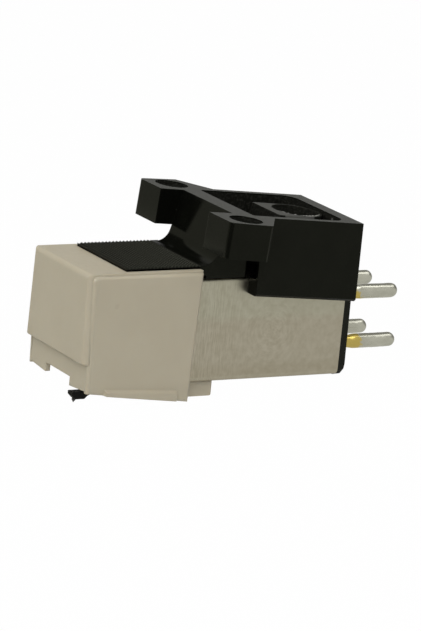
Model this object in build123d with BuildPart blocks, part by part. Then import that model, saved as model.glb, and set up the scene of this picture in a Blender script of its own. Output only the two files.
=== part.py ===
from build123d import *
from math import cos, radians, sin, sqrt
import os

# Mounting bracket: sizes in the mounting frame, whose zero is the top face between the screw holes
hole_spacing = 12.7
hole_diameter = 2.85
ear_inner = 4.15
ear_edge_front = 1.55
ear_edge_rear = 1.95
ear_front = -2.3
ear_side_end = 1.5
ear_thickness = 3.06
ear_corner = 0.45
bar_front = -0.05
block_half = 5.2
block_start = 3.5
skirt_foot = -6.8
skirt_chamfer = 0.2
well_side_wall = 0.65
well_front = 1.8
well_rear_wall = 1.35
well_depth = 3.0
well_front_corner = 0.25
well_rear_corner = 1.2
boss_half = 2.3
boss_front = 5.78
boss_drop = 0.3
boss_bore = 4.15
boss_bore_depth = 2.4
top_skin = 0.1

# Generator body: sizes in the body frame, pitched nose-down about X from the mounting frame
body_tilt = 4.8
block_rear = 12.35
skirt_front = 2.4
plate_top = -4.37
plate_thickness = 1.18
plate_setback = 0.4
wall_foot = -1.3
wall_fillet = 1.3
window_front = 1.85
window_depth = 1.9
window_height = 1.3
window_wall = 0.25
window_inset = 1.7

# Ribbed tongue over the stylus holder
tongue_lip = 0.5
tongue_front = -9.72
tongue_thickness = 0.83
rib_pitch = 0.335
rib_depth = 0.13

# Shield can and terminal block
fit_gap = 0.05
can_half = 3.8
can_front = -2.4
can_rear = 12.2
can_height = 9.1
can_wall = 0.35
can_corner = 0.5
terminal_plate = 0.7
terminal_corner = 0.5
terminal_plug = 1.6
socket_depth = 0.45

# Terminal pins
pin_diameter = 1.25
pin_pitch = 4.4
pin_exposed = 5.65
pin_tail = 0.8
neck_diameter = 1.05
neck_length = 0.9
pin_taper = 0.6
pin_lift = 0.12

# Stylus holder
holder_half = 4.93
holder_step = 0.23
holder_front = -13.48
holder_gap = 0.35
rear_lean = 0.4
front_plate_rise = 0.55
front_plate_height = 7.65
front_plate_flare = 0.28
holder_wall = 0.7
front_wall = 0.45
roof_thickness = 0.6
holder_drop = 1.0
leg_rake = 0.22
opening_half = 2.15
opening_height = 0.55
bulkhead = 1.0
foot_fall = 1.15
holder_edge = 0.42
holder_lip_edge = 0.15
panel_rise = 0.27
panel_inset = 0.2
panel_setback = 0.05
panel_lean = 0.15
panel_drop = 0.2
panel_corner = 0.35
panel_edge = 0.25
ledge_rise = 0.36
ledge_setback = 1.5
ledge_inset = 1.1
ledge_front_height = 0.6
ledge_rear_height = 1.0
ledge_slope = 0.25
ledge_drop = 0.15
lug_half = 3.2
lug_length = 2.9
lug_thickness = 1.3
lug_corner = 0.15

# Stylus plug and suspension: the pivot is the point about which the cantilever moves
pivot_setback = 1.8
pivot_rise = 2.05
cantilever_pitch = 21.7
plug_side_gap = 0.15
plug_height = 4.25
plug_length = 4.35
chamber_wall = 0.35
chamber_rise = 1.3
chamber_fall = 1.4
chamber_run = 0.45
channel_radius = 0.78
sleeve_radius = 0.93
sleeve_bore = 0.7
sleeve_length = 2.4
throat_radius = 0.3
press_gap = 0.02
damper_length = 0.45
damper_gap = 0.07
seat_gap = 0.06
wire_radius = 0.05
wire_bore = 0.12
wire_grip = 0.3
anchor_length = 0.8
carrier_radius = 0.62
carrier_length = 1.45
magnet_radius = 0.22
magnet_gap = 0.17
magnet_root = 0.36
magnet_station = 0.45
cantilever_radius = 0.4
cantilever_length = 9.6
socket_length = 0.6
head_length = 1.5
head_height = 0.62
head_drop = 0.42
head_half = 0.4
head_chin = 0.34
head_heel = 0.45
head_overlap = 0.3
tip_setback = 0.4
shank_radius = 0.17
shank_set = 0.2
shank_length = 0.12
cone_length = 0.25

# Coils and cores
core_thickness = 0.6
limb_height = 0.85
limb_lift = 0.95
limb_rise = 1.15
pole_rise = 0.4
pole_setback = 0.4
yoke_gap = 0.35
coil_gap = 0.35
bobbin_length = 5.1
bobbin_flange = 1.3
bobbin_side_gap = 0.1
flange_width = 0.35
bobbin_wall = 0.2
coil_depth = 0.6
coil_corner = 0.4
shield_thickness = 0.3
shield_margin = 0.3

# Planes of the pitched body: deck looks up, side looks along X and face looks forward
deck = Plane.XY.rotated((body_tilt, 0, 0))
side = Plane(origin=(0, 0, 0), x_dir=deck.y_dir, z_dir=deck.x_dir)
face = Plane(origin=(0, 0, 0), x_dir=deck.x_dir, z_dir=-deck.y_dir)
rearward = Axis((0, 0, 0), deck.y_dir)
upward = Axis((0, 0, 0), deck.z_dir)
tilt_cos = cos(radians(body_tilt))
tilt_sin = sin(radians(body_tilt))

# Levels and stations that follow from the sizes above
ear_outer_front = hole_spacing / 2 + ear_edge_front
ear_outer_rear = hole_spacing / 2 + ear_edge_rear
plate_foot = plate_top - plate_thickness
can_top = plate_foot - fit_gap
can_foot = can_top - can_height
inner_half = can_half - can_wall
inner_top = can_top - can_wall
inner_foot = can_foot + can_wall
plug_face = can_rear - terminal_plug
plate_front = can_front + plate_setback
neck_half = ear_inner
holder_rear = can_front - holder_gap
holder_top = plate_top - holder_step
tongue_half = holder_half - tongue_lip - fit_gap
tongue_foot = plate_top - tongue_thickness
pocket_floor = tongue_foot - fit_gap
roof_foot = pocket_floor - roof_thickness
wall_front = holder_front + front_plate_rise
wall_inner = wall_front + front_wall
front_plate_foot = holder_top - front_plate_height
foot_rear = can_foot - holder_drop
leg_foot = foot_rear + foot_fall
leg_height = front_plate_foot - leg_foot
ledge_front = wall_front + ledge_setback
ledge_rear = holder_rear - rear_lean - ledge_inset
panel_half = holder_half + panel_rise
lug_top = can_foot - fit_gap
can_middle = (can_top + can_foot) / 2
pin_middle = can_middle + pin_lift
pin_base = can_rear + terminal_plate
neck_end = pin_base + neck_length
pin_tip = pin_base + pin_exposed
pin_radius = pin_diameter / 2
pin_start = plug_face - pin_tail
carrier_end = seat_gap + carrier_length
cantilever_start = carrier_end - socket_length
damper_seat = seat_gap + damper_length + seat_gap
limb_half = limb_height / 2
upper_limb = can_middle + limb_lift
lower_limb = inner_foot + limb_rise
core_offset = inner_half - bobbin_side_gap - bobbin_flange
pivot_v = can_front + pivot_setback
pivot_w = inner_foot + pivot_rise
plug_half = core_offset - core_thickness / 2 - plug_side_gap
plug_foot = inner_foot + fit_gap
plug_top = plug_foot + plug_height
plug_rear = can_front + plug_length
chamber_half = plug_half - chamber_wall
chamber_top = pivot_w + chamber_rise
chamber_foot = pivot_w - chamber_fall
chamber_rear = pivot_v + chamber_run
magnet_length = (chamber_half - magnet_gap) * sqrt(2) - magnet_radius - magnet_root
pole_foot = pivot_w + pole_rise
pole_front = can_front + pole_setback
bobbin_front = plug_rear + coil_gap
shield_front = plug_rear + coil_gap
shield_height = inner_top - inner_foot - 2 * shield_margin
yoke_rear = bobbin_front + bobbin_length + yoke_gap + limb_height
sides = {"left": -1, "right": 1}


def body_point(v, w):
    """Y and Z in the mounting frame of the body station v at the body height w."""
    return (v * tilt_cos - w * tilt_sin, v * tilt_sin + w * tilt_cos)


def body_y(v, z):
    """Y in the mounting frame of the body station v at the mounting height z."""
    return (v - z * tilt_sin) / tilt_cos


def foot_at(v):
    """Body height of the holder's lower edge at the station v."""
    return leg_foot - foot_fall * (v - wall_front) / (holder_rear - wall_front)


def axis_plane(station):
    """Plane across the cantilever's axis, facing forward, at a distance ahead of the pivot."""
    run = -deck.y_dir * cos(radians(cantilever_pitch)) - deck.z_dir * sin(radians(cantilever_pitch))
    start = deck.from_local_coords(Vector(0, pivot_v, pivot_w))
    return Plane(origin=start + run * station, x_dir=deck.x_dir, z_dir=run)


def axis_station(v):
    """Distance ahead of the pivot at which the cantilever's axis crosses the body station v."""
    return (pivot_v - v) / cos(radians(cantilever_pitch))


def magnet_plane(hand):
    """Plane at the root of one magnet, facing outwards along it."""
    across = axis_plane(seat_gap + magnet_station)
    lean = (across.x_dir * hand + across.y_dir) / sqrt(2)
    return Plane(origin=across.origin + lean * magnet_root, x_dir=across.z_dir, z_dir=lean)


os.makedirs("parts", exist_ok=True)

# Mounting bracket
block_back = body_y(block_rear, 0)
well_half = block_half - well_side_wall
well_rear = block_back - well_rear_wall
bore_y = well_rear - boss_half
wall_corner = body_point(wall_foot, plate_top)
tongue_middle = plate_top - tongue_thickness / 2
rib_count = int((plate_front - wall_fillet / 2 - tongue_front) / rib_pitch)

with BuildPart() as mounting_bracket:
    with BuildSketch():
        with BuildLine():
            Polyline(
                (0, bar_front),
                (ear_inner, bar_front),
                (ear_inner, ear_front),
                (ear_outer_front, ear_front),
                (ear_outer_rear, ear_side_end),
                (block_half, block_start),
                (block_half, block_back),
                (0, block_back),
            )
            mirror(about=Plane.YZ)
        make_face()
    extrude(amount=-ear_thickness)
    front_corners = mounting_bracket.edges().filter_by(Axis.Z).group_by(Axis.Y)[0].sort_by(Axis.X)
    fillet([front_corners[0], front_corners[-1]], radius=ear_corner)

    # Block with its skirts, raked front and rear like the body
    with BuildSketch(Plane.YZ):
        with BuildLine():
            Polyline(
                (block_start, -top_skin),
                (body_y(skirt_front, -ear_thickness), -ear_thickness),
                (body_y(skirt_front, skirt_foot), skirt_foot),
                (body_y(block_rear, skirt_foot), skirt_foot),
                (block_back, -top_skin),
                (block_back, 0),
                (block_start, 0),
                close=True,
            )
        make_face()
    extrude(amount=block_half, both=True)
    skirt_edges = mounting_bracket.edges().group_by(Axis.Z)[0].filter_by(Axis.Y).sort_by(Axis.X)
    chamfer([skirt_edges[0], skirt_edges[-1]], length=skirt_chamfer)

    # Neck between the ears and the can, with its hollow sweep down to the tongue
    with BuildSketch(Plane.YZ) as neck:
        with BuildLine():
            Polyline(
                body_point(plate_front - 2 * wall_fillet, tongue_middle),
                body_point(plate_front - 2 * wall_fillet, plate_top),
                wall_corner,
                (bar_front, -top_skin),
                (block_back, -top_skin),
                body_point(block_rear, plate_foot),
                body_point(plate_front, plate_foot),
                body_point(plate_front, tongue_middle),
                close=True,
            )
        make_face()
        fillet(neck.vertices().sort_by_distance(wall_corner)[0], radius=wall_fillet)
    extrude(amount=neck_half, both=True)

    # Tongue with its cross ribs
    with BuildSketch(side):
        with BuildLine():
            Polyline(
                (tongue_front, tongue_foot),
                (tongue_front, plate_top),
                (plate_front, plate_top),
                (plate_front, tongue_foot),
                close=True,
            )
        make_face()
    extrude(amount=tongue_half, both=True)
    with BuildSketch(side):
        with Locations((tongue_front + rib_count * rib_pitch / 2, plate_top)):
            with GridLocations(rib_pitch, rib_pitch, rib_count, 1):
                Rectangle(rib_depth * sqrt(2), rib_depth * sqrt(2), rotation=45)
    extrude(amount=tongue_half, both=True, mode=Mode.SUBTRACT)

    # Well with the bored boss
    with BuildSketch() as well:
        with Locations((0, (well_front + well_rear) / 2)):
            Rectangle(2 * well_half, well_rear - well_front)
        fillet(well.vertices().group_by(Axis.Y)[0], radius=well_front_corner)
        fillet(well.vertices().group_by(Axis.Y)[-1], radius=well_rear_corner)
    extrude(amount=-well_depth, mode=Mode.SUBTRACT)
    with BuildSketch(Plane.XY.offset(-well_depth)):
        with Locations((0, (boss_front + bore_y) / 2)):
            Rectangle(2 * boss_half, bore_y - boss_front)
        with Locations((0, bore_y)):
            Circle(boss_half)
    extrude(amount=well_depth - boss_drop)
    with Locations((0, bore_y, -boss_drop)):
        Hole(boss_bore / 2, depth=boss_bore_depth)
    with GridLocations(hole_spacing, hole_spacing, 2, 1):
        Hole(hole_diameter / 2, depth=ear_thickness)

    # Seat of the can, and the windows in front of the skirts
    with BuildSketch(face.offset(-block_rear)):
        with Locations((0, plate_foot)):
            Rectangle(2 * (can_half + fit_gap), 2 * can_height, align=(Align.CENTER, Align.MAX))
    extrude(amount=block_rear - plate_front, mode=Mode.SUBTRACT)
    window_half = block_half - window_wall
    with BuildSketch(face.offset(-window_front)):
        for hand in (-1, 1):
            with Locations((hand * (window_half - window_inset / 2), plate_foot)):
                Rectangle(window_inset, window_height, align=(Align.CENTER, Align.MIN))
    extrude(amount=-window_depth, mode=Mode.SUBTRACT)
mounting_bracket.part.label = "mounting_bracket"
export_step(mounting_bracket.part, "parts/mounting_bracket.step")

# Shield can
with BuildPart() as shield_can:
    with BuildSketch(face.offset(-can_rear)):
        with Locations((0, can_middle)):
            RectangleRounded(2 * can_half, can_height, can_corner)
            offset(amount=-can_wall, mode=Mode.SUBTRACT)
    extrude(amount=can_rear - can_front)
shield_can.part.label = "shield_can"
export_step(shield_can.part, "parts/shield_can.step")

# Terminal block
with BuildPart() as terminal_block:
    with BuildSketch(face.offset(-can_rear)):
        with Locations((0, can_middle)):
            RectangleRounded(2 * (can_half - fit_gap), can_height - 2 * fit_gap, terminal_corner)
    extrude(amount=-terminal_plate)
    with BuildSketch(face.offset(-can_rear)):
        with Locations((0, can_middle)):
            Rectangle(2 * (inner_half - fit_gap), inner_top - inner_foot - 2 * fit_gap)
    extrude(amount=terminal_plug)
    with BuildSketch(face.offset(-can_rear - terminal_plate)):
        with Locations((0, pin_middle)):
            with GridLocations(pin_pitch, pin_pitch, 2, 2):
                Circle(neck_diameter / 2 + press_gap)
    extrude(amount=terminal_plate + terminal_plug, mode=Mode.SUBTRACT)
    with BuildSketch(face.offset(-plug_face)):
        for hand in (-1, 1):
            with Locations((hand * core_offset, upper_limb)):
                Rectangle(core_thickness + 2 * press_gap, limb_height + 2 * press_gap)
        with Locations((0, can_middle)):
            Rectangle(shield_thickness + 2 * press_gap, shield_height + 2 * press_gap)
    extrude(amount=-socket_depth, mode=Mode.SUBTRACT)
terminal_block.part.label = "terminal_block"
export_step(terminal_block.part, "parts/terminal_block.step")

# Terminal pins, a signal pin above and a return pin below on each channel
for channel, hand in sides.items():
    for role, level in {"signal": 1, "return": -1}.items():
        centre = face.from_local_coords((hand * pin_pitch / 2, pin_middle + level * pin_pitch / 2))
        lathe = Plane(origin=centre, x_dir=deck.y_dir, z_dir=deck.x_dir)
        with BuildPart() as pin:
            with BuildSketch(lathe):
                with BuildLine():
                    flank = Polyline(
                        (pin_start, 0),
                        (pin_start, neck_diameter / 2),
                        (neck_end, neck_diameter / 2),
                        (neck_end + pin_taper, pin_radius),
                        (pin_tip - pin_radius, pin_radius),
                    )
                    TangentArc(flank @ 1, (pin_tip, 0), tangent=flank % 1)
                    Line((pin_tip, 0), (pin_start, 0))
                make_face()
            revolve(axis=Axis(lathe.origin, lathe.x_dir))
        pin.part.label = f"{channel}_{role}_pin"
        export_step(pin.part, f"parts/{channel}_{role}_pin.step")

# Cores, bobbins and coils of the two channels
tube_width = core_thickness + 2 * fit_gap + 2 * bobbin_wall
tube_height = limb_height + 2 * fit_gap + 2 * bobbin_wall
for channel, hand in sides.items():
    with BuildPart() as core:
        with BuildSketch(side.offset(hand * core_offset)):
            with BuildLine():
                Polyline(
                    (pole_front, lower_limb - limb_half),
                    (yoke_rear, lower_limb - limb_half),
                    (yoke_rear, upper_limb - limb_half),
                    (plug_face + socket_depth - press_gap, upper_limb - limb_half),
                    (plug_face + socket_depth - press_gap, upper_limb + limb_half),
                    (pole_front, upper_limb + limb_half),
                    (pole_front, pole_foot),
                    (pole_front + limb_height, pole_foot),
                    (pole_front + limb_height, upper_limb - limb_half),
                    (yoke_rear - limb_height, upper_limb - limb_half),
                    (yoke_rear - limb_height, lower_limb + limb_half),
                    (pole_front, lower_limb + limb_half),
                    close=True,
                )
            make_face()
        extrude(amount=core_thickness / 2, both=True)
    core.part.label = f"{channel}_core"
    export_step(core.part, f"parts/{channel}_core.step")

    with BuildPart() as bobbin:
        for start, length, width, height in (
            (bobbin_front, bobbin_length, tube_width, tube_height),
            (bobbin_front, flange_width, 2 * bobbin_flange, 2 * bobbin_flange),
            (bobbin_front + bobbin_length - flange_width, flange_width, 2 * bobbin_flange, 2 * bobbin_flange),
        ):
            with BuildSketch(face.offset(-start)):
                with Locations((hand * core_offset, upper_limb)):
                    Rectangle(width, height)
                    Rectangle(core_thickness + 2 * fit_gap, limb_height + 2 * fit_gap, mode=Mode.SUBTRACT)
            extrude(amount=-length)
    bobbin.part.label = f"{channel}_bobbin"
    export_step(bobbin.part, f"parts/{channel}_bobbin.step")

    with BuildPart() as coil:
        with BuildSketch(face.offset(-bobbin_front - flange_width - press_gap)):
            with Locations((hand * core_offset, upper_limb)):
                RectangleRounded(tube_width + 2 * coil_depth, tube_height + 2 * coil_depth, coil_corner)
                Rectangle(tube_width + 2 * press_gap, tube_height + 2 * press_gap, mode=Mode.SUBTRACT)
        extrude(amount=2 * flange_width + 2 * press_gap - bobbin_length)
    coil.part.label = f"{channel}_coil"
    export_step(coil.part, f"parts/{channel}_coil.step")

# Shield plate between the channels
with BuildPart() as channel_shield:
    with BuildSketch(face.offset(-shield_front)):
        with Locations((0, can_middle)):
            Rectangle(shield_thickness, shield_height)
    extrude(amount=shield_front - plug_face - socket_depth + press_gap)
channel_shield.part.label = "channel_shield"
export_step(channel_shield.part, "parts/channel_shield.step")

# Stylus holder
with BuildPart() as stylus_holder:
    with BuildSketch(side):
        with BuildLine():
            Polyline(
                (wall_front, leg_foot),
                (wall_front, holder_top),
                (holder_rear, holder_top),
                (holder_rear - rear_lean, foot_rear),
                close=True,
            )
        make_face()
    extrude(amount=holder_half, both=True)

    # Raised front plate
    with BuildSketch(face.offset(-wall_front)):
        with BuildLine():
            Polyline(
                (-holder_half, holder_top),
                (holder_half, holder_top),
                (holder_half + front_plate_flare, front_plate_foot),
                (-holder_half - front_plate_flare, front_plate_foot),
                close=True,
            )
        make_face()
    extrude(amount=front_plate_rise)
    fillet(stylus_holder.faces().sort_by(rearward)[0].edges().sort_by(upward)[1:], radius=holder_edge)
    fillet(stylus_holder.faces().sort_by(rearward)[0].edges().sort_by(upward)[0], radius=holder_lip_edge)

    # Raised side panels
    for hand in (-1, 1):
        with BuildSketch(side.offset(hand * holder_half)) as panel:
            with BuildLine():
                Polyline(
                    (wall_front + panel_setback + panel_lean, leg_foot - panel_drop),
                    (wall_front + panel_setback, holder_top - panel_inset),
                    (holder_rear, holder_top - panel_inset),
                    (holder_rear - rear_lean, foot_rear - panel_drop),
                    close=True,
                )
            make_face()
            top_front = panel.vertices().sort_by_distance((wall_front, holder_top))[0]
            fillet(top_front, radius=panel_corner)
        extrude(amount=hand * panel_rise)
        outer = stylus_holder.faces().sort_by(Axis.X)[-1 if hand > 0 else 0]
        fillet(outer.edges(), radius=panel_edge)

    # Finger ledges along the lower edge of the panels, sloping in at the top and at both ends
    for hand in (-1, 1):
        for reach, slope in ((-panel_edge, 0), (ledge_rise, ledge_slope)):
            front = ledge_front + slope
            rear = ledge_rear - slope
            with BuildSketch(side.offset(hand * (panel_half + reach))):
                with BuildLine():
                    Polyline(
                        (front, foot_at(front) - ledge_drop),
                        (front, foot_at(front) - ledge_drop + ledge_front_height - slope),
                        (rear, foot_at(rear) - ledge_drop + ledge_rear_height - slope),
                        (rear, foot_at(rear) - ledge_drop),
                        close=True,
                    )
                make_face()
        loft()

    # Hollow, tongue pocket and the opening for the stylus
    with BuildSketch(side):
        with BuildLine():
            Polyline(
                (wall_inner, roof_foot),
                (holder_rear - bulkhead, roof_foot),
                (holder_rear - bulkhead - rear_lean, foot_rear - leg_height),
                (wall_inner, foot_rear - leg_height),
                close=True,
            )
        make_face()
    extrude(amount=holder_half - holder_wall, both=True, mode=Mode.SUBTRACT)
    with BuildSketch(deck.offset(pocket_floor)):
        with Locations((0, tongue_front - fit_gap)):
            Rectangle(
                2 * (tongue_half + fit_gap),
                holder_rear - tongue_front + 2 * fit_gap,
                align=(Align.CENTER, Align.MIN),
            )
    extrude(amount=tongue_thickness, mode=Mode.SUBTRACT)
    with BuildSketch(face.offset(-wall_inner)):
        with BuildLine():
            Polyline(
                (-opening_half, leg_foot + opening_height),
                (opening_half, leg_foot + opening_height),
                (opening_half, leg_foot - leg_height),
                (-opening_half, leg_foot - leg_height),
                close=True,
            )
        make_face()
    extrude(amount=2 * front_wall, mode=Mode.SUBTRACT)
    with BuildSketch(face.offset(-wall_inner)):
        for hand in (-1, 1):
            with BuildLine():
                Polyline(
                    (hand * opening_half, leg_foot),
                    (hand * (holder_half - leg_rake), leg_foot),
                    (hand * opening_half, leg_foot - leg_rake),
                    close=True,
                )
            make_face()
    extrude(amount=front_wall)

    # Plug that enters the can, and the lug that hooks below it
    with BuildSketch(face.offset(-plug_rear)):
        with Locations((0, plug_foot)):
            Rectangle(2 * plug_half, plug_top - plug_foot, align=(Align.CENTER, Align.MIN))
    extrude(amount=plug_rear - holder_rear + bulkhead / 2 + rear_lean)
    lug_rear = holder_rear + lug_length
    lug_foot = lug_top - lug_thickness
    with BuildSketch(side) as lug:
        with BuildLine():
            Polyline(
                (holder_rear - rear_lean - bulkhead / 2, lug_foot),
                (holder_rear - rear_lean - bulkhead / 2, lug_top),
                (lug_rear, lug_top),
                (lug_rear, lug_foot),
                close=True,
            )
        make_face()
        fillet(lug.vertices().sort_by_distance((lug_rear, lug_foot))[0], radius=lug_corner)
    extrude(amount=lug_half, both=True)

    # Magnet chamber, cantilever channel and sleeve bore
    with BuildSketch(face.offset(-chamber_rear)):
        with Locations((0, chamber_foot)):
            Rectangle(2 * chamber_half, chamber_top - chamber_foot, align=(Align.CENTER, Align.MIN))
    extrude(amount=chamber_rear - holder_rear + bulkhead + rear_lean, mode=Mode.SUBTRACT)
    with BuildSketch(axis_plane(0)):
        Circle(channel_radius)
    extrude(amount=axis_station(holder_rear - 2 * bulkhead), mode=Mode.SUBTRACT)
    with BuildSketch(axis_plane(0)):
        Circle(sleeve_radius + press_gap)
    extrude(amount=-2 * sleeve_length, mode=Mode.SUBTRACT)
stylus_holder.part.label = "stylus_holder"
export_step(stylus_holder.part, "parts/stylus_holder.step")

# Sleeve with the damper seat in front, the wire's throat and the anchor seat behind
with BuildPart() as pivot_sleeve:
    for start, length, radius, how in (
        (-sleeve_length, sleeve_length, sleeve_radius, Mode.ADD),
        (-damper_seat, damper_seat, sleeve_bore, Mode.SUBTRACT),
        (-sleeve_length, anchor_length, sleeve_bore, Mode.SUBTRACT),
        (-sleeve_length, sleeve_length, throat_radius, Mode.SUBTRACT),
    ):
        with BuildSketch(axis_plane(start)):
            Circle(radius)
        extrude(amount=length, mode=how)
pivot_sleeve.part.label = "pivot_sleeve"
export_step(pivot_sleeve.part, "parts/pivot_sleeve.step")

# Rubber damper
with BuildPart() as damper_ring:
    with BuildSketch(axis_plane(seat_gap - damper_seat)):
        Circle(sleeve_bore - damper_gap)
        Circle(wire_bore, mode=Mode.SUBTRACT)
    extrude(amount=damper_length)
damper_ring.part.label = "damper_ring"
export_step(damper_ring.part, "parts/damper_ring.step")

# Tie wire and the anchor that grips it
with BuildPart() as suspension_wire:
    with BuildSketch(axis_plane(-sleeve_length)):
        Circle(wire_radius)
    extrude(amount=sleeve_length + seat_gap + wire_grip)
suspension_wire.part.label = "suspension_wire"
export_step(suspension_wire.part, "parts/suspension_wire.step")

with BuildPart() as wire_anchor:
    with BuildSketch(axis_plane(-sleeve_length)):
        Circle(sleeve_bore - press_gap)
        Circle(wire_radius + press_gap / 2, mode=Mode.SUBTRACT)
    extrude(amount=anchor_length - press_gap)
wire_anchor.part.label = "wire_anchor"
export_step(wire_anchor.part, "parts/wire_anchor.step")

# Magnet carrier
with BuildPart() as magnet_carrier:
    with BuildSketch(axis_plane(seat_gap)):
        Circle(carrier_radius)
    extrude(amount=carrier_length)
    with BuildSketch(axis_plane(carrier_end)):
        Circle(cantilever_radius + press_gap)
    extrude(amount=-socket_length, mode=Mode.SUBTRACT)
    with BuildSketch(axis_plane(seat_gap)):
        Circle(wire_bore)
    extrude(amount=wire_grip + seat_gap, mode=Mode.SUBTRACT)
    for hand in (-1, 1):
        with BuildSketch(magnet_plane(hand).offset(-press_gap)):
            Circle(magnet_radius + press_gap / 2)
        extrude(amount=magnet_length, mode=Mode.SUBTRACT)
magnet_carrier.part.label = "magnet_carrier"
export_step(magnet_carrier.part, "parts/magnet_carrier.step")

# Magnets, one for each channel
for channel, hand in sides.items():
    with BuildPart() as magnet:
        with BuildSketch(magnet_plane(hand)):
            Circle(magnet_radius)
        extrude(amount=magnet_length)
    magnet.part.label = f"{channel}_magnet"
    export_step(magnet.part, f"parts/{channel}_magnet.step")

# Cantilever with its moulded head, and the stylus set into the head
head_rear = axis_plane(cantilever_start + cantilever_length)
head_v = deck.to_local_coords(head_rear.origin).Y
head_w = deck.to_local_coords(head_rear.origin).Z
head_nose = head_v - head_length + head_overlap
head_foot = head_w - head_drop
head_top = head_foot + head_height
tip_y, tip_z = body_point(head_nose + tip_setback, head_foot)
with BuildPart() as cantilever:
    with BuildSketch(axis_plane(cantilever_start)):
        Circle(cantilever_radius)
    extrude(amount=cantilever_length)
    with BuildSketch(side):
        with BuildLine():
            Polyline(
                (head_nose, head_top),
                (head_nose, head_foot + head_chin),
                (head_nose + head_chin, head_foot),
                (head_v, head_foot),
                (head_v + head_heel, head_foot + head_heel),
                (head_v + head_overlap, head_top),
                close=True,
            )
        make_face()
    extrude(amount=head_half, both=True)
    with BuildSketch(Plane.XY.offset(tip_z + shank_set)):
        with Locations((0, tip_y)):
            Circle(shank_radius + press_gap / 2)
    extrude(amount=-2 * shank_set, mode=Mode.SUBTRACT)
cantilever.part.label = "cantilever"
export_step(cantilever.part, "parts/cantilever.step")

with BuildPart() as stylus_tip:
    with BuildSketch(Plane.YZ):
        with BuildLine():
            Polyline(
                (tip_y, tip_z + shank_set - press_gap / 2),
                (tip_y + shank_radius, tip_z + shank_set - press_gap / 2),
                (tip_y + shank_radius, tip_z - shank_length),
                (tip_y, tip_z - shank_length - cone_length),
                close=True,
            )
        make_face()
    revolve(axis=Axis((0, tip_y, 0), (0, 0, 1)))
stylus_tip.part.label = "stylus_tip"
export_step(stylus_tip.part, "parts/stylus_tip.step")
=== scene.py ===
import math

import bpy
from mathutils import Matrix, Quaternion, Vector


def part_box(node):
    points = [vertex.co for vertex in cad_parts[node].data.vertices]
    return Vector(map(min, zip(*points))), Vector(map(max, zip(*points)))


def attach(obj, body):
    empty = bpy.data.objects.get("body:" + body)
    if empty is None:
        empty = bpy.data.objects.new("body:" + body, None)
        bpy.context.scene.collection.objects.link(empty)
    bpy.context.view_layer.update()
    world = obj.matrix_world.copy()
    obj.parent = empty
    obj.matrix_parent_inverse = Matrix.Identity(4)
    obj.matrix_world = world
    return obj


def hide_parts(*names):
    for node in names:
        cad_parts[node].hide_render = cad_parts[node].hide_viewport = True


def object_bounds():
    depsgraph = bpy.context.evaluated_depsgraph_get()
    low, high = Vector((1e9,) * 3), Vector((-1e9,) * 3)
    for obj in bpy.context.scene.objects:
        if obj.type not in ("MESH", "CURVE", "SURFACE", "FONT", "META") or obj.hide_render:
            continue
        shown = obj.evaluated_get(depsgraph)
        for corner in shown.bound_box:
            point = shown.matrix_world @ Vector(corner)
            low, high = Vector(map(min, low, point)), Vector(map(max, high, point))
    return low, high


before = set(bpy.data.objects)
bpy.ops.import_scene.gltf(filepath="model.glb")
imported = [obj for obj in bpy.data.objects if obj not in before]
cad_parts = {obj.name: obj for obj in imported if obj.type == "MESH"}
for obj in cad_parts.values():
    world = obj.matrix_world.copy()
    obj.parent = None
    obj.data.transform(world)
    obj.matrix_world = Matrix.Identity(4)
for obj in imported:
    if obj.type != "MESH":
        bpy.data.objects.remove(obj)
cad_low, cad_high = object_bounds()

# The scene is in metres. Sizes of the cartridge are in millimetres and take mm where they are used
mm = 0.001
middle = (cad_low + cad_high) / 2

# Pitched body frame of the cartridge: v runs rearwards and w up, turned about X from the mounting frame
body_tilt = math.radians(4.8)
tilt_cos = math.cos(body_tilt)
tilt_sin = math.sin(body_tilt)

# Camera of the photograph: angles in degrees, and the sensor along the longer side of the frame
eye = Vector((275.81, -170.76, 58.06)) * mm
view_azimuth = 57.915
view_elevation = 11.783
view_roll = 9.892
focal_pixels = 3924.12
frame_height = 631
sensor_width = 36
near_clip = 10 * mm
far_clip = 50.0

# Studio: lengths in metres, and directions as an azimuth and an elevation in degrees
floor_drop = 60 * mm
floor_half = 4.0
lamp_distance = 0.6
front_room = (-58, -12)
rear_ceiling = (-150, 40)
camera_side = (35, -8)
white = (1, 1, 1, 1)
floor_tone = (0.80, 0.80, 0.79, 1)
room_tone = (0.50, 0.50, 0.48, 1)
front_room_tone = (0.33, 0.33, 0.27, 1)
rear_ceiling_tone = (0.20, 0.20, 0.19, 1)
camera_side_tone = (0.05, 0.05, 0.05, 1)
ambient_tone = (0.97, 0.98, 1.0, 1)
ambient_strength = 0.48
floor_glow = 0.985

# Places of the bracket in the mounting frame
ear_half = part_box("mounting_bracket")[1].x / mm
ear_end = 1.5
ear_line = 0.1
hole_half_spacing = 6.35
hole_radius = 1.43
well_half = 4.55
well_front = 1.8
well_rear = 11.04
well_floor = -3.0
well_brim = -0.12
boss_half = 2.3
boss_front = 5.78
boss_top = -0.3
shoulder_front = boss_front + 0.6
shoulder_foot = boss_top - 0.25
bore_y = 8.74
bore_radius = 2.08
polish_start = bore_y - 1.6
polish_full = bore_y + 0.4

# Painted glint along the ragged rim inside the bore: its band about the boss's top, its slopes, and where
# from the axis it fades out
glint_rise = 0.09
glint_depth = 0.6
glint_slope_x = -0.35
glint_slope_y = 0.22
glint_end_x = 1.8
glint_full_x = 1.2
glint_end_y = -0.4
glint_full_y = 0.3

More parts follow.
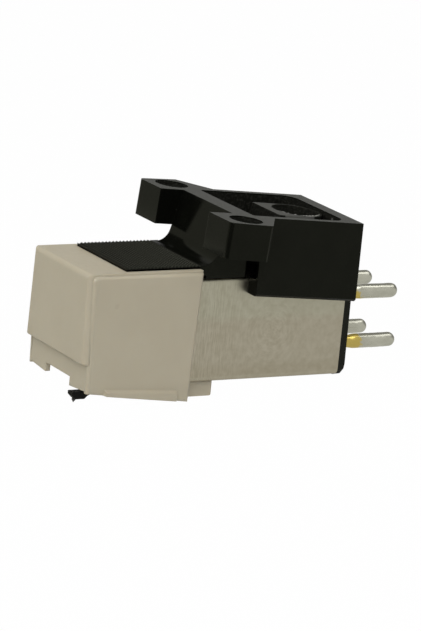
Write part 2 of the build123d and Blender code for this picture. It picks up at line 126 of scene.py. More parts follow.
# Can and terminal block in the pitched body frame
fit_gap = 0.05
can_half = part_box("shield_can")[1].x / mm
can_top = -5.6
can_height = 9.1
can_rear = 12.2
can_wall = 0.35
can_inner_half = can_half - can_wall
can_foot = can_top - can_height
streaks_end = 4.5
streaks_full = -1.5
swirl_v = 5.2
swirl_w = -10.6
swirl_reach = 4.2
# Painted light on the can: lighter towards the top above these heights
lit_upper_end = can_top - 4.2
lit_upper_full = can_top - 3.2
# Painted shade darkening towards the can's foot, and a painted highlight line on the rounded edge at the
# foot
foot_shade_end = can_foot + 1.8
foot_shade_full = can_foot + 1.0
foot_highlight_low = can_foot + 0.3
foot_highlight_high = can_foot + 0.4
terminal_plate = 0.7
terminal_half = can_half - fit_gap
terminal_foot = can_foot + fit_gap
terminal_foot_height = 1.0
terminal_drop = 0.22
terminal_round = 1.25
terminal_cuts = 9
terminal_rake = math.radians(-0.6)
terminal_crease = math.radians(30)

# Pins in the pitched body frame, and how much longer than the plain pin each one is
pin_base = can_rear + terminal_plate
pin_shank = 3.5
pin_lengthening = {
    "left_signal_pin": 0.0,
    "right_signal_pin": -0.19,
    "left_return_pin": -0.06,
    "right_return_pin": 0.07,
}
lower_pins = -12.2
first_ring = 1.6
ring_pitch = 0.3
ring_count = 11
dip_size = 0.7
dip_unevenness = 0.06
pin_crease = math.radians(50)
gold_end = 15.0
gold_fade = 0.15
gold_rake = 0.16
gold_rake_above = 0.08

# Teeth of the tongue in the pitched body frame
tongue_front = -9.72
tongue_rear = -2.4
tongue_top = -4.37
tongue_half = 4.38
tooth_pitch = 0.335
tooth_rows = 21
tooth_columns = 26
tooth_peak = 0.10
tooth_valley = 0.09
knurl_depth = 0.3
# Where the painted highlight on the tops of the teeth begins, along the tongue and in height
tooth_highlight_from = tongue_rear - 0.4
tooth_highlight_foot = tongue_top - 0.04

# Side panels of the holder in the pitched body frame, and the rounded rim in front of each
panel_side = 5.2
dimple_v = -10.77
dimple_w = -7.3
dimple_radius = 0.3
rim_inner = 4.8
rim_front = -13.15
rim_rear = -12.0
rim_setback = 0.1
rim_top = -4.77
rim_height = 9.93
rim_corner = 0.45
rim_round = 0.26
rim_segments = 6
rim_proud = 0.01
rim_dip = 0.06
rim_lean = math.radians(1.3)
rim_crease = math.radians(35)

# Fine relief, the width over which a mask fades, and distances at which places count as the same
grain_depth = 0.006
edge_samples = 6
mask_fade = 0.05
merge_distance = 0.001
face_tolerance = 0.01


def body_place(x, v, w):
    """Point of the mounting frame at the body's width x, station v and height w, all in millimetres."""
    return Vector((x, v * tilt_cos - w * tilt_sin, v * tilt_sin + w * tilt_cos)) * mm


def body_station(place):
    """Distance along the body, in millimetres, of a point of the mounting frame."""
    return place.y * tilt_cos + place.z * tilt_sin


def body_height(place):
    """Height in the body, in millimetres, of a point of the mounting frame."""
    return place.z * tilt_cos - place.y * tilt_sin


class Signal:
    """An output socket of a finish. Arithmetic on it adds Math nodes."""

    def __init__(self, finish, socket):
        self.finish = finish
        self.socket = socket

    def maths(self, operation, *terms):
        return self.finish.node("ShaderNodeMath", {"operation": operation}, dict(enumerate(terms)))

    def __add__(self, other):
        return self.maths("ADD", self, other)

    def __sub__(self, other):
        return self.maths("SUBTRACT", self, other)

    def __rsub__(self, other):
        return self.maths("SUBTRACT", other, self)

    def __mul__(self, other):
        return self.maths("MULTIPLY", self, other)

    def __lt__(self, other):
        return self.maths("LESS_THAN", self, other)

    def __abs__(self):
        return self.maths("ABSOLUTE", self)

    def most(self, other):
        return self.maths("MAXIMUM", self, other)

    __radd__ = __add__
    __rmul__ = __mul__


class Finish:
    """A material, or the world, being made: its nodes, its surface shader and its coordinates."""

    def __init__(self, name, world=None, **constants):
        self.material = world or bpy.data.materials.new(name)
        self.material.use_nodes = True
        self.tree = self.material.node_tree
        self.shader = self.tree.nodes.get("Principled BSDF")
        for socket, value in constants.items():
            self.shader.inputs[socket.replace("_", " ")].default_value = value

    def feed(self, socket, value):
        """Links a signal to a socket, or sets the socket to a plain value."""
        if isinstance(value, Signal):
            self.tree.links.new(value.socket, socket)
        else:
            socket.default_value = value

    def node(self, kind, settings=None, inputs=None, output=0):
        """Adds a node with its settings, then its sockets' values or links, and returns an output."""
        made = self.tree.nodes.new(kind)
        for name, value in (settings or {}).items():
            setattr(made, name, value)
        for name, value in (inputs or {}).items():
            self.feed(made.inputs[name], value)
        return Signal(self, made.outputs[output])

    def surface(self, **signals):
        """Feeds signals to the surface shader by the names of its sockets."""
        for socket, value in signals.items():
            self.feed(self.shader.inputs[socket.replace("_", " ")], value)
        return self.material

    def vector(self, operation, first, second=(0, 0, 0), output=0):
        """Vector Math node on two vectors."""
        return self.node("ShaderNodeVectorMath", {"operation": operation}, {0: first, 1: second}, output)

    def place(self, stretch=(1, 1, 1), turn=0.0):
        """Object coordinates in millimetres, turned about X and then stretched along the axes."""
        here = self.node("ShaderNodeTexCoord", output="Object")
        turned = self.node(
            "ShaderNodeMapping", {"vector_type": "POINT"}, {"Vector": here, "Rotation": (turn, 0, 0)}
        )
        return self.vector("MULTIPLY", turned, [1 / (mm * share) for share in stretch])

    def axes(self, turn=0.0):
        """The three coordinates in millimetres, in the mounting frame or turned about X."""
        here = {"Vector": self.place(turn=turn)}
        return [self.node("ShaderNodeSeparateXYZ", inputs=here, output=axis) for axis in "XYZ"]

    def body_axes(self):
        """Station and height in the pitched body, in millimetres."""
        return self.axes(turn=-body_tilt)[1:]

    def grain(self, size, detail=2.0, stretch=(1, 1, 1), turn=0.0, contrast=1.0):
        """Noise about nought, with features of a size in millimetres."""
        texture = self.node(
            "ShaderNodeTexNoise",
            inputs={"Vector": self.place(stretch, turn), "Scale": 1 / size, "Detail": detail},
        )
        return (texture - 0.5) * contrast

    def specks(self, size, share, spread):
        """Mask of scattered specks: a share of the cells of a size in millimetres hold a small spot."""
        cells = {"Vector": self.place(), "Scale": 1 / size, "Randomness": 1.0}
        distance = self.node("ShaderNodeTexVoronoi", inputs=cells)
        colour = self.node("ShaderNodeTexVoronoi", inputs=cells, output="Color")
        chosen = self.node("ShaderNodeSeparateColor", inputs={"Color": colour})
        return (distance < spread) * (chosen < share)

    def blend(self, mask, first, second):
        """Colour that goes from the first to the second as the mask goes from nought to one."""
        return self.node(
            "ShaderNodeMix", {"data_type": "RGBA"}, {"Factor": mask, 6: first, 7: second}, output=2
        )

    def ramp(self, value, low, high):
        """Value that rises smoothly from nought at the first level to one at the second."""
        return self.node(
            "ShaderNodeMapRange",
            {"interpolation_type": "SMOOTHSTEP"},
            {"Value": value, "From Min": low, "From Max": high},
        )

    def within(self, value, low, high, fade=mask_fade):
        """One between two levels, fading to nought beyond them."""
        return self.ramp(value, low - fade, low) * self.ramp(value, high + fade, high)

    def bore(self, across, along, radius, margin):
        """One in a round hole and as far as a margin past its wall, fading to nought beyond."""
        square = across * across + along * along
        return self.ramp(square, (radius + 3 * margin) ** 2, (radius + margin) ** 2)

    def relief(self, bumps, depth=grain_depth, edge=0.0):
        """Normal of a surface with bumps of a depth and edges softened to a radius, in millimetres."""
        inputs = {"Height": bumps, "Distance": depth * mm, "Strength": 1.0}
        if edge:
            softened = self.node("ShaderNodeBevel", {"samples": edge_samples}, {"Radius": edge * mm})
            inputs["Normal"] = softened
        return self.node("ShaderNodeBump", inputs=inputs)

    def upward(self):
        """How far the surface faces up."""
        normal = self.node("ShaderNodeNewGeometry", output="Normal")
        return self.node("ShaderNodeSeparateXYZ", inputs={"Vector": normal}, output="Z")


def holder_moulding():
    """Warm pale grey moulding of the stylus holder, with a fine eroded grain and an ejector dimple."""
    pale = (0.384, 0.341, 0.251, 1)
    warm = (0.402, 0.359, 0.266, 1)
    fleck_tone = (0.37, 0.33, 0.25, 1)
    grime_tone = (0.20, 0.17, 0.12, 1)
    made = Finish(
        "holder_moulding",
        Subsurface_Weight=0.2,
        Subsurface_Radius=(1.0, 0.75, 0.5),
        Subsurface_Scale=0.5 * mm,
        IOR=1.5,
    )
    cloud = made.grain(4.0, detail=3.0)
    clouded = made.blend(made.ramp(cloud, -0.25, 0.25), pale, warm)
    fleck = made.ramp(made.grain(0.12, detail=1.0), 0.12, 0.3)
    flecked = made.blend(fleck * 0.25, clouded, fleck_tone)
    centre = body_place(panel_side, dimple_v, dimple_w) / mm
    apart = made.vector("DISTANCE", made.place(), centre, "Value")
    dimple = made.ramp(apart, dimple_radius, dimple_radius / 2)
    grime = made.specks(1.9, share=0.05, spread=0.03)
    colour = made.blend(dimple * 0.12 + grime * 0.5, flecked, grime_tone)
    roughness = 0.46 + made.grain(0.5, contrast=0.2)
    bumps = made.grain(0.07, contrast=0.5) - dimple * 2.5
    normal = made.relief(bumps, edge=0.15)
    return made.surface(Base_Color=colour, Roughness=roughness, Normal=normal)


def level_faces(made, z):
    """Mask of the bracket's upward faces, from the boss up, where a sheen from above is painted."""
    high = made.ramp(z, boss_top - 3 * mask_fade, boss_top - mask_fade)
    return made.ramp(made.upward(), 0.7, 0.95) * high


def polished_ring(made, y, z):
    """Mask of the rear of the boss's top, round the bore, kept glossy and without most of the painted
    sheen.
    """
    on_boss = made.within(z, boss_top - mask_fade, boss_top + mask_fade)
    return on_boss * made.ramp(y, polish_start, polish_full)


def cored_places(made, wide, y):
    """Mask of the well and of the screw holes, as seen from above."""
    margin = 0.03
    along = made.within(y, well_front - mask_fade, well_rear + mask_fade)
    across = made.ramp(wide, well_half + margin + mask_fade, well_half + margin)
    well = across * along
    return well.most(made.bore(wide - hole_half_spacing, y, hole_radius, margin=0.02))


def bore_glint(made, x, y, z):
    """Mask of the painted glint, a ragged band inside the bore on its rear and far sides."""
    behind = y - bore_y
    level = z + x * glint_slope_x + behind * glint_slope_y + made.grain(0.4, detail=4.0, contrast=0.4)
    band = made.within(level, boss_top - glint_depth, boss_top + glint_rise)
    far = made.ramp(x, glint_end_x, glint_full_x)
    rear = made.ramp(behind, glint_end_y, glint_full_y)
    return made.bore(x, behind, bore_radius, margin=0.04) * band * far * rear


def boss_shoulder(made, x, y, z):
    """Mask of the upper edge of the boss on its near side, where a highlight is painted."""
    beside = made.within(x, boss_half - mask_fade, boss_half + 2 * mask_fade)
    high = made.within(z, shoulder_foot, boss_top)
    return beside * high * made.within(y, shoulder_front, well_rear)


def ear_corner(made, wide, y):
    """Mask of the outer rear corner of each ear, where a thin edge highlight is painted."""
    outside = made.ramp(wide, ear_half - 0.2, ear_half - 0.12)
    return outside * made.within(y, ear_end - ear_line, ear_end)


def tooth_tops(made):
    """Mask of the tops of the tongue's teeth, where a highlight is painted."""
    v, w = made.body_axes()
    on_tongue = made.ramp(v, tongue_rear, tooth_highlight_from)
    return on_tongue * made.ramp(w, tooth_highlight_foot, tongue_top + tooth_peak)


def bracket_moulding(name, edge):
    """Black moulding: polished sides, a matt top painted lighter as a sheen, an eroded well, and painted
    highlights on the tongue's tooth tops, on the boss's near upper edge, at the ears' rear corners and as
    a glint inside the bore.
    """
    deep_black = (0.0024, 0.0026, 0.0019, 1)
    polished_black = (0.0036, 0.0038, 0.0028, 1)
    # Painted sheen of the upward faces
    sheen_grey = (0.058, 0.058, 0.0525, 1)
    pitted_black = (0.003, 0.003, 0.0025, 1)
    eroded_grey = (0.022, 0.022, 0.019, 1)
    # Painted glint inside the bore
    glint_grey = (0.42, 0.42, 0.38, 1)
    # Painted highlight on the boss's near upper edge
    boss_highlight_grey = (0.11, 0.11, 0.10, 1)
    # Painted edge highlight at the ears' rear outer corners
    ear_highlight_grey = (0.013, 0.013, 0.0105, 1)
    # Painted highlight on the tops of the teeth
    tooth_highlight_grey = (0.026, 0.026, 0.021, 1)
    dust_tone = (0.18, 0.175, 0.16, 1)
    made = Finish(name, IOR=1.26, Specular_Tint=(0.97, 1.0, 0.76, 1))
    x, y, z = made.axes()
    wide = abs(x)
    flat = level_faces(made, z)
    upright = 1 - flat
    matt_and_sheen = flat * (1 - polished_ring(made, y, z) * 0.93)
    below = made.within(z, well_floor - 2 * mask_fade, well_brim) * (1 - matt_and_sheen)
    inside = below * cored_places(made, wide, y)
    cloud = made.grain(1.5, detail=4.0)
    coarse = made.grain(0.16, detail=3.0)
    plain = made.blend(made.ramp(cloud, -0.2, 0.3), deep_black, polished_black)
    eroded = made.blend(made.ramp(coarse, -0.05, 0.25), pitted_black, eroded_grey)
    # Painted sheen: the upward faces are painted lighter, as light from above makes them look
    sheened = made.blend(matt_and_sheen, plain, sheen_grey)
    cored = made.blend(inside, sheened, eroded)
    # Painted glint, light grey, on a ragged band inside the bore
    glinted = made.blend(bore_glint(made, x, y, z) * upright, cored, glint_grey)
    # Painted highlight along the boss's near upper edge
    boss_highlighted = made.blend(boss_shoulder(made, x, y, z) * upright, glinted, boss_highlight_grey)
    # Painted edge highlight at the ears' rear outer corners
    edge_highlighted = made.blend(ear_corner(made, wide, y) * below, boss_highlighted, ear_highlight_grey)
    # Painted highlight on the tops of the tongue's teeth
    tooth_tops_lit = made.blend(tooth_tops(made), edge_highlighted, tooth_highlight_grey)
    dust = made.specks(0.7, share=0.07, spread=0.07) * (0.25 + matt_and_sheen * 0.4 + inside * 0.7)
    colour = made.blend(dust, tooth_tops_lit, dust_tone)
    roughness = 0.12 + matt_and_sheen * 0.42 + inside * 0.45 + made.grain(0.8, detail=3.0, contrast=0.06)
    bumps = made.grain(0.05) * (0.1 + matt_and_sheen * 1.2) + coarse * inside * 3.0
    normal = made.relief(bumps, edge=edge)
    return made.surface(Base_Color=colour, Roughness=roughness, Normal=normal)


def terminal_moulding():
    """Black satin moulding of the terminal block."""
    black = (0.0045, 0.0047, 0.0037, 1)
    worn_black = (0.0065, 0.0067, 0.0055, 1)
    made = Finish("terminal_moulding", IOR=1.3, Specular_Tint=(0.97, 1.0, 0.80, 1))
    cloud = made.grain(1.2, detail=3.0)
    colour = made.blend(made.ramp(cloud, -0.25, 0.25), black, worn_black)
    roughness = 0.34 + cloud * 0.15
    normal = made.relief(made.grain(0.07), edge=0.08)
    return made.surface(Base_Color=colour, Roughness=roughness, Normal=normal)


def rubbed_arcs(made):
    """Noise about nought in arcs, strongest at the middle of the rubbed patch on the can's sides."""
    flat = made.vector("MULTIPLY", made.place(turn=-body_tilt), (0, 1, 1))
    spoke = made.vector("SUBTRACT", flat, (0, swirl_v, swirl_w))
    apart = made.vector("LENGTH", spoke, output="Value")
    rings = made.node("ShaderNodeCombineXYZ", inputs={"X": apart * 5.0})
    around = made.vector("MULTIPLY", made.vector("NORMALIZE", spoke), (0, 2.6, 2.6))
    path = made.vector("ADD", around, rings)
    arcs = made.node("ShaderNodeTexNoise", inputs={"Vector": path, "Scale": 1.0, "Detail": 4.0})
    return (arcs - 0.5) * made.ramp(apart, swirl_reach, swirl_reach * 0.3)


def can_plate():
    """Plated sheet of the shield can: satin, drawn streaks near the holder and a rubbed patch behind,
    painted lighter towards the top, with painted shade towards the foot and a painted highlight line on
    the rounded edge at the foot.
    """
    # Darker lower and lighter upper copies of the plating: painted light from above
    shaded_lower_tone = (0.655, 0.590, 0.445, 1)
    lit_upper_tone = (0.670, 0.635, 0.480, 1)
    # Painted shade towards the foot
    foot_shade_tone = (0.56, 0.49, 0.345, 1)
    # Painted highlight line on the rounded edge at the foot
    foot_highlight_tone = (0.74, 0.69, 0.52, 1)
    worn_tone = (0.34, 0.31, 0.235, 1)
    made = Finish("can_plate", Metallic=1.0)
    v, w = made.body_axes()
    streaks = made.grain(0.06, detail=3.0, stretch=(1, 1, 20), turn=-body_tilt)
    drawn = streaks * made.ramp(v, streaks_end, streaks_full)
    mottle = made.grain(0.5, detail=4.0)
    marks = drawn * 2.0 + rubbed_arcs(made) * 0.9 + mottle * 0.8
    # Painted light: the can is painted lighter towards the top
    lit_upper = made.ramp(w + mottle * 0.8, lit_upper_end, lit_upper_full)
    # Painted shade darkening towards the foot, and a painted highlight line on the rounded edge at the
    # foot
    foot_shade = made.ramp(w, foot_shade_end, foot_shade_full)
    foot_highlight = made.within(w, foot_highlight_low, foot_highlight_high, fade=0.12)
    lit_plating = made.blend(lit_upper, shaded_lower_tone, lit_upper_tone)
    foot_shaded = made.blend(foot_shade * 0.6, lit_plating, foot_shade_tone)
    edge_highlighted = made.blend(foot_highlight * 0.35, foot_shaded, foot_highlight_tone)
    worn = made.blend(0.68, worn_tone, edge_highlighted)
    fresh = made.blend(0.88, white, edge_highlighted)
    colour = made.blend(made.ramp(marks, -0.4, 0.4), worn, fresh)
    roughness = 0.36 + marks * 0.15
    normal = made.relief(marks, edge=0.04)
    return made.surface(Base_Color=colour, Roughness=roughness, Normal=normal)


def tinned_pin():
    """Bright tinned pin on a gold neck, with the uneven skin that the dip leaves."""
    gold = (0.80, 0.62, 0.17, 1)
    grey_tin = (0.69, 0.68, 0.575, 1)
    bright_tin = (0.79, 0.78, 0.665, 1)
    made = Finish("tinned_pin", Metallic=1.0)
    v, w = made.body_axes()
    ragged = v + made.grain(0.4, detail=4.0, contrast=1.2)
    boundary = ragged + (w - lower_pins) * (gold_rake + made.upward() * gold_rake_above)
    tin = made.ramp(boundary, gold_end - gold_fade, gold_end + gold_fade)
    wobble = made.grain(0.6, detail=3.0, stretch=(1, 2, 1), turn=-body_tilt)
    skin = made.blend(made.ramp(wobble, -0.2, 0.2), grey_tin, bright_tin)
    colour = made.blend(tin, gold, skin)
    roughness = 0.30 - tin * 0.02 + wobble * 0.2
    normal = made.relief(wobble, depth=0.014)
    return made.surface(Base_Color=colour, Roughness=roughness, Normal=normal)


def worked_metal(name, tone, roughness, size, stretch=(1, 1, 1)):
    """Plain metal of an inner piece with the marks of its working, of a size in millimetres."""
    dark = [channel * 0.72 for channel in tone]
    made = Finish(name, Metallic=1.0)
    marks = made.grain(size, detail=3.0, stretch=stretch, turn=-body_tilt)
    stain = made.grain(0.7, detail=3.0)
    colour = made.blend(made.ramp(marks + stain, -0.35, 0.35), (*dark, 1), (*tone, 1))
    normal = made.relief(marks, edge=0.02)
    return made.surface(Base_Color=colour, Roughness=roughness + stain * 0.2, Normal=normal)


def inner_moulding(name, tone, roughness, depth=grain_depth, index=1.5):
    """Plain moulding or rubber of an inner piece with a fine grain of a depth in millimetres."""
    pale = [channel * 1.15 for channel in tone]
    made = Finish(name, IOR=index)
    cloud = made.grain(0.6, detail=3.0)
    colour = made.blend(made.ramp(cloud, -0.25, 0.25), (*tone, 1), (*pale, 1))
    normal = made.relief(made.grain(0.06), depth, edge=0.02)
    return made.surface(Base_Color=colour, Roughness=roughness + cloud * 0.15, Normal=normal)


def coil_winding():
    """Lacquered copper wire wound in close turns along the bobbin."""
    shaded_copper = (0.36, 0.13, 0.05, 1)
    copper = (0.72, 0.33, 0.15, 1)
    made = Finish("coil_winding", Metallic=1.0, Coat_Weight=0.5, Coat_Roughness=0.1)
    turns = made.node(
        "ShaderNodeTexWave",
        {"wave_type": "BANDS", "bands_direction": "Y", "wave_profile": "SIN"},
        {"Vector": made.place(turn=-body_tilt), "Scale": 3.2, "Distortion": 0.4, "Detail": 1.0},
    )
    cloud = made.grain(0.5)
    colour = made.blend(turns + cloud, shaded_copper, copper)
    normal = made.relief(turns, depth=0.03)
    return made.surface(Base_Color=colour, Roughness=0.32 + cloud * 0.2, Normal=normal)


def stylus_jewel():
    """Dark ground jewel of the stylus."""
    dark = (0.012, 0.012, 0.011, 1)
    ground = (0.035, 0.034, 0.031, 1)
    made = Finish("stylus_jewel", IOR=2.0)
    facet = made.grain(0.05, detail=1.0)
    colour = made.blend(made.ramp(facet, -0.2, 0.2), dark, ground)
    return made.surface(Base_Color=colour, Roughness=0.08 + made.ramp(facet, 0, 0.3) * 0.12)


def pick(piece, wanted):
    """Goes into edit mode with only the vertices selected whose place, in millimetres, is wanted."""
    bpy.ops.object.mode_set(mode="EDIT")
    bpy.ops.mesh.select_mode(type="VERT")
    bpy.ops.mesh.select_all(action="DESELECT")
    bpy.ops.object.mode_set(mode="OBJECT")
    for vertex in piece.data.vertices:
        vertex.select = wanted(vertex.co / mm)
    bpy.ops.object.mode_set(mode="EDIT")


def settle(piece, material, body, turn=0.0, place=(0, 0, 0)):
    """Turns a finished piece about X, sets it in its place, applies both, and dresses it."""
    bpy.ops.object.mode_set(mode="OBJECT")
    piece.location = place
    piece.rotation_euler = (turn, 0, 0)
    bpy.ops.object.transform_apply(location=True, rotation=True, scale=True)
    piece.data.materials.clear()
    piece.data.materials.append(material)
    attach(piece, body)


def node_copy(node, name):
    """Copy of a CAD node as a piece of its own, with its loose triangles merged, in edit mode."""
    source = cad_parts[node]
    piece = bpy.data.objects.new(name, source.data.copy())
    bpy.context.scene.collection.objects.link(piece)
    piece.matrix_world = source.matrix_world
    bpy.ops.object.select_all(action="DESELECT")
    piece.select_set(True)
    bpy.context.view_layer.objects.active = piece
    bpy.ops.object.transform_apply(location=True, rotation=True, scale=True)
    bpy.ops.object.mode_set(mode="EDIT")
    bpy.ops.mesh.select_all(action="SELECT")
    bpy.ops.mesh.remove_doubles(threshold=merge_distance * mm)
    return piece


def panel_rim(name, hand, material):
    """Rounded front rim of a side panel of the holder, flush with the leg below the front plate."""
    bpy.ops.object.select_all(action="DESELECT")
    bpy.ops.mesh.primitive_cube_add(size=1)
    rim = bpy.context.object
    rim.name = name
    rim.scale = ((panel_side - rim_inner) * mm, (rim_rear - rim_front) * mm, rim_height * mm)
    bpy.ops.object.transform_apply(scale=True)
    pick(rim, lambda place: place.y > 0 and place.x * hand > 0)
    bpy.ops.transform.translate(value=(-hand * rim_dip * mm, 0, 0))
    pick(rim, lambda place: place.y < 0 and place.z > 0)
    bpy.ops.mesh.bevel(offset=rim_corner * mm, segments=rim_segments, profile=0.5, affect="EDGES")
    pick(rim, lambda place: place.x * hand > 0 and (place.y < 0 or place.z > 0))
    bpy.ops.mesh.bevel(offset=rim_round * mm, segments=rim_segments, profile=0.5, affect="EDGES")
    bpy.ops.object.mode_set(mode="OBJECT")
    bpy.ops.object.shade_smooth_by_angle(angle=rim_crease)
    across = hand * ((panel_side + rim_inner) / 2 + rim_proud)
    along = (rim_front + rim_rear) / 2 + rim_setback
    centre = body_place(across, along, rim_top - rim_height / 2)
    settle(rim, material, "stylus_assembly", body_tilt + rim_lean, centre)


def tongue_knurl(material):
    """Pointed teeth on the ribs of the tongue, as one sheet sunk in it."""
    length = tooth_rows * tooth_pitch
    columns = 2 * tooth_columns
    rows = 2 * tooth_rows
    bpy.ops.object.select_all(action="DESELECT")
    bpy.ops.mesh.primitive_grid_add(x_subdivisions=columns, y_subdivisions=rows, size=1)
    knurl = bpy.context.object
    knurl.name = "tongue_knurl"
    knurl.scale = (2 * tongue_half * mm, length * mm, mm)
    bpy.ops.object.transform_apply(scale=True)

    def peak(place):
        across = round((place.x / (2 * tongue_half) + 0.5) * columns)
        along = round((place.y / length + 0.5) * rows)
        return across % 2 == 1 and along % 2 == 0 and 0 < along < rows

    pick(knurl, peak)
    bpy.ops.transform.translate(value=(0, 0, (tooth_peak + tooth_valley) * mm))
    bpy.ops.mesh.select_all(action="SELECT")
    bpy.ops.mesh.extrude_region_move(TRANSFORM_OT_translate={"value": (0, 0, -knurl_depth * mm)})
    bpy.ops.transform.resize(value=(1, 1, 0))
    bpy.ops.mesh.select_all(action="SELECT")
    bpy.ops.mesh.normals_make_consistent(inside=False)
    centre = body_place(0, tongue_front + length / 2, tongue_top - tooth_valley)
    settle(knurl, material, "body", body_tilt, centre)


def filed_terminal(material):
    """Copy of the terminal block with rounder and lower corners at its foot and a raked rear face."""
    block = node_copy("terminal_block", "terminal_block_filed")

    def at_foot(place):
        outside = abs(place.x) > can_inner_half or body_height(place) < can_foot + can_wall
        return outside and body_height(place) < terminal_foot + terminal_foot_height

    pick(block, at_foot)
    bpy.ops.transform.translate(value=body_place(0, 0, -terminal_drop))
    pick(block, lambda place: body_station(place) > pin_base - face_tolerance)
    hinge = body_place(0, pin_base, terminal_foot)
    bpy.ops.transform.rotate(value=terminal_rake, orient_axis="X", center_override=hinge)
    for hand in (-1, 1):
        for cut in range(terminal_cuts):
            turn = math.pi / 2 * (cut + 0.5) / terminal_cuts
            across = terminal_half - terminal_round * (1 - math.cos(turn))
            level = terminal_foot - terminal_drop + terminal_round * (1 - math.sin(turn))
            corner = body_place(hand * across, pin_base, level)
            away = body_place(hand * math.cos(turn), 0, -math.sin(turn)) / mm
            bpy.ops.mesh.select_all(action="SELECT")
            bpy.ops.mesh.bisect(plane_co=corner, plane_no=away, use_fill=True, clear_outer=True)
    bpy.ops.object.mode_set(mode="OBJECT")
    bpy.ops.object.shade_smooth_by_angle(angle=terminal_crease)
    settle(block, material, "body")
    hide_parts("terminal_block")


def dipped_pin(node, longer, material):
    """Copy of a pin, longer by a length in millimetres, with the uneven skin of the solder dip."""
    pin = node_copy(node, node + "_tinned")
    pick(pin, lambda place: body_station(place) > pin_base + pin_shank)
    bpy.ops.transform.translate(value=body_place(0, longer, 0))
    for ring in range(ring_count):
        bpy.ops.mesh.select_all(action="SELECT")
        cut = body_place(0, pin_base + first_ring + ring * ring_pitch, 0)
        bpy.ops.mesh.bisect(plane_co=cut, plane_no=(0, tilt_cos, tilt_sin))
    bpy.ops.object.mode_set(mode="OBJECT")
    skin = bpy.data.textures.new(node + "_skin", "CLOUDS")
    skin.noise_scale = dip_size * mm
    uneven = pin.modifiers.new("uneven", "DISPLACE")
    uneven.texture = skin
    uneven.strength = dip_unevenness * mm
    bpy.ops.object.modifier_apply(modifier="uneven")
    bpy.ops.object.shade_smooth_by_angle(angle=pin_crease)
    settle(pin, material, "body")
    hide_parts(node)


def dress(material, *nodes):
    """Gives CAD nodes a finish in their own material slots."""
    for name in nodes:
        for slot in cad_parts[name].material_slots:
            slot.material = material


def finish_holder():
    """Stylus holder, with the rounded rims of its side panels."""
    moulding = holder_moulding()
    dress(moulding, "stylus_holder")
    panel_rim("left_panel_rim", -1, moulding)
    panel_rim("right_panel_rim", 1, moulding)


def finish_bracket():
    """Mounting bracket, with the teeth of its tongue."""
    dress(bracket_moulding("bracket_moulding", edge=0.08), "mounting_bracket")
    tongue_knurl(bracket_moulding("knurl_moulding", edge=0.0))


def finish_terminals():
    """Terminal block as it was filed, and the four pins as they were dipped."""
    moulding = terminal_moulding()
    dress(moulding, "terminal_block")
    filed_terminal(moulding)
    tinned = tinned_pin()
    for node, longer in pin_lengthening.items():
        dress(tinned, node)
        dipped_pin(node, longer, tinned)


def finish_generator():
    """Shield can, and the cores, coils and channel shield inside it."""
    rolled = (1, 12, 1)
    dress(can_plate(), "shield_can")
    core = worked_metal("core_sheet", (0.40, 0.40, 0.41), roughness=0.42, size=0.05, stretch=rolled)
    dress(core, "left_core", "right_core")
    bobbin = inner_moulding("bobbin_moulding", (0.62, 0.60, 0.54), roughness=0.45)
    dress(bobbin, "left_bobbin", "right_bobbin")
    dress(coil_winding(), "left_coil", "right_coil")
    shield = worked_metal("shield_sheet", (0.60, 0.58, 0.55), roughness=0.35, size=0.05, stretch=rolled)
    dress(shield, "channel_shield")


def finish_suspension():
    """Sleeve, damper and wire that hold the cantilever, and the cantilever with its magnets and tip."""
    brass = worked_metal("turned_brass", (0.78, 0.58, 0.26), roughness=0.28, size=0.04, stretch=(8, 1, 8))
    dress(brass, "pivot_sleeve", "wire_anchor")
    rubber = inner_moulding("damper_rubber", (0.018, 0.018, 0.018), roughness=0.7)
    dress(rubber, "damper_ring")
    wire = worked_metal("drawn_wire", (0.58, 0.58, 0.60), roughness=0.25, size=0.02, stretch=(1, 10, 1))
    dress(wire, "suspension_wire")
    carrier = inner_moulding("carrier_moulding", (0.09, 0.09, 0.095), roughness=0.5)
    dress(carrier, "magnet_carrier")
    magnet = worked_metal("ground_magnet", (0.34, 0.34, 0.36), roughness=0.38, size=0.03)
    dress(magnet, "left_magnet", "right_magnet")
    blacked = inner_moulding(
        "blacked_cantilever", (0.006, 0.006, 0.0048), roughness=0.5, depth=0.05, index=1.25
    )
    dress(blacked, "cantilever")
    dress(stylus_jewel(), "stylus_tip")


def bearing(azimuth, elevation):
    """Direction away from the cartridge, in degrees. Azimuth 0 is in front and 90 on the near side."""
    turn = math.radians(azimuth)
    rise = math.radians(elevation)
    return Vector((math.sin(turn) * math.cos(rise), -math.cos(turn) * math.cos(rise), math.sin(rise)))


def view_direction():
    """Direction in which the photograph's camera looks."""
    return -bearing(view_azimuth, view_elevation)


def path_kind(made, kind):
    """One for rays of a kind and nought for the others."""
    return made.node("ShaderNodeLightPath", output=kind)


def background_rays(made):
    """One where a ray comes straight from the camera, a mirror or a clear piece, and nought elsewhere."""
    straight = path_kind(made, "Is Camera Ray")
    return straight.most(path_kind(made, "Is Glossy Ray")).most(path_kind(made, "Is Transmission Ray"))


def surroundings(made, direction):
    """White to the camera. In a mirror the room is dim, dark at the camera's side and white behind."""

    def facing(aim, start, full):
        return made.ramp(made.vector("DOT_PRODUCT", direction, aim, "Value"), start, full)

    room = made.blend(facing(bearing(*front_room), 0.2, 0.9), room_tone, front_room_tone)
    roofed = made.blend(facing(bearing(*rear_ceiling), 0.55, 0.85), room, rear_ceiling_tone)
    dimmed = made.blend(facing(bearing(*camera_side), 0.6, 0.9), roofed, camera_side_tone)
    mirrored = made.blend(facing(view_direction(), 0.88, 0.96), dimmed, white)
    return made.blend(path_kind(made, "Is Glossy Ray"), white, mirrored)


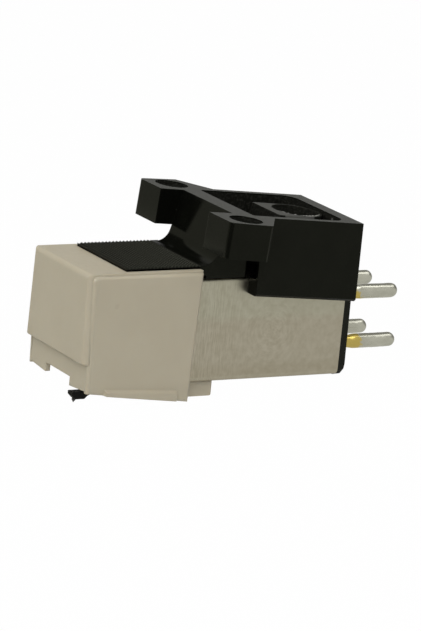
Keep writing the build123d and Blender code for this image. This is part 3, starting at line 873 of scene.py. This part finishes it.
def studio_floor():
    """Pale floor below the cartridge, white to the camera, keeping some of the shadow."""
    bpy.ops.object.select_all(action="DESELECT")
    bpy.ops.mesh.primitive_plane_add(size=2 * floor_half, location=(0, 0, cad_low.z - floor_drop))
    bpy.ops.object.transform_apply(location=True)
    floor = bpy.context.object
    floor.name = "studio_floor"
    made = Finish("floor_paper")
    made.tree.nodes.remove(made.shader)
    away = made.vector("NORMALIZE", made.vector("SUBTRACT", made.place(), middle / mm))
    glow = made.node("ShaderNodeEmission", inputs={"Color": surroundings(made, away), "Strength": 1.0})
    paper = made.node("ShaderNodeBsdfDiffuse", inputs={"Color": floor_tone})
    share = background_rays(made) * floor_glow
    mixed = made.node("ShaderNodeMixShader", inputs={"Fac": share, 1: paper, 2: glow})
    made.feed(made.tree.nodes["Material Output"].inputs["Surface"], mixed)
    floor.data.materials.append(made.material)


def studio_world():
    """Surroundings for what the camera and the gloss see, and a plain fill for the rest."""
    world = bpy.data.worlds.new("studio_world")
    bpy.context.scene.world = world
    made = Finish("studio_world", world=world)
    away = made.node("ShaderNodeTexCoord", output="Generated")
    glow = made.node("ShaderNodeBackground", inputs={"Color": surroundings(made, away), "Strength": 1.0})
    fill = made.node("ShaderNodeBackground", inputs={"Color": ambient_tone, "Strength": ambient_strength})
    mixed = made.node("ShaderNodeMixShader", inputs={"Fac": background_rays(made), 1: fill, 2: glow})
    made.feed(made.tree.nodes["World Output"].inputs["Surface"], mixed)


def softbox(name, azimuth, elevation, size, power):
    """Square area lamp aimed at the middle of the cartridge."""
    away = bearing(azimuth, elevation)
    lamp = bpy.data.lights.new(name, "AREA")
    lamp.size = size
    lamp.energy = power
    stand = bpy.data.objects.new(name, lamp)
    stand.location = middle + away * lamp_distance
    stand.rotation_euler = (-away).to_track_quat("-Z", "Y").to_euler()
    bpy.context.scene.collection.objects.link(stand)


def studio_lights():
    """Soft light from the near front, from the far front, from above and behind, and from overhead."""
    softbox("key_softbox", azimuth=45, elevation=36, size=0.35, power=1.75)
    softbox("fill_softbox", azimuth=-25, elevation=25, size=0.4, power=0.6)
    softbox("top_softbox", azimuth=172, elevation=59, size=0.20, power=0.17)
    softbox("overhead_softbox", azimuth=60, elevation=78, size=0.5, power=1.3)


def photo_camera():
    """Camera at the photograph's place, with its focal length and roll."""
    lens = bpy.data.cameras.new("photo_camera")
    lens.sensor_width = sensor_width
    lens.lens = focal_pixels * sensor_width / frame_height
    lens.clip_start = near_clip
    lens.clip_end = far_clip
    camera = bpy.data.objects.new("photo_camera", lens)
    upright = view_direction().to_track_quat("-Z", "Y")
    camera.rotation_mode = "QUATERNION"
    camera.rotation_quaternion = upright @ Quaternion((0, 0, 1), math.radians(view_roll))
    camera.location = eye
    bpy.context.scene.collection.objects.link(camera)
    bpy.context.scene.camera = camera


finish_holder()
finish_bracket()
finish_terminals()
finish_generator()
finish_suspension()
studio_floor()
studio_world()
studio_lights()
photo_camera()
bpy.context.scene.view_settings.view_transform = "Standard"
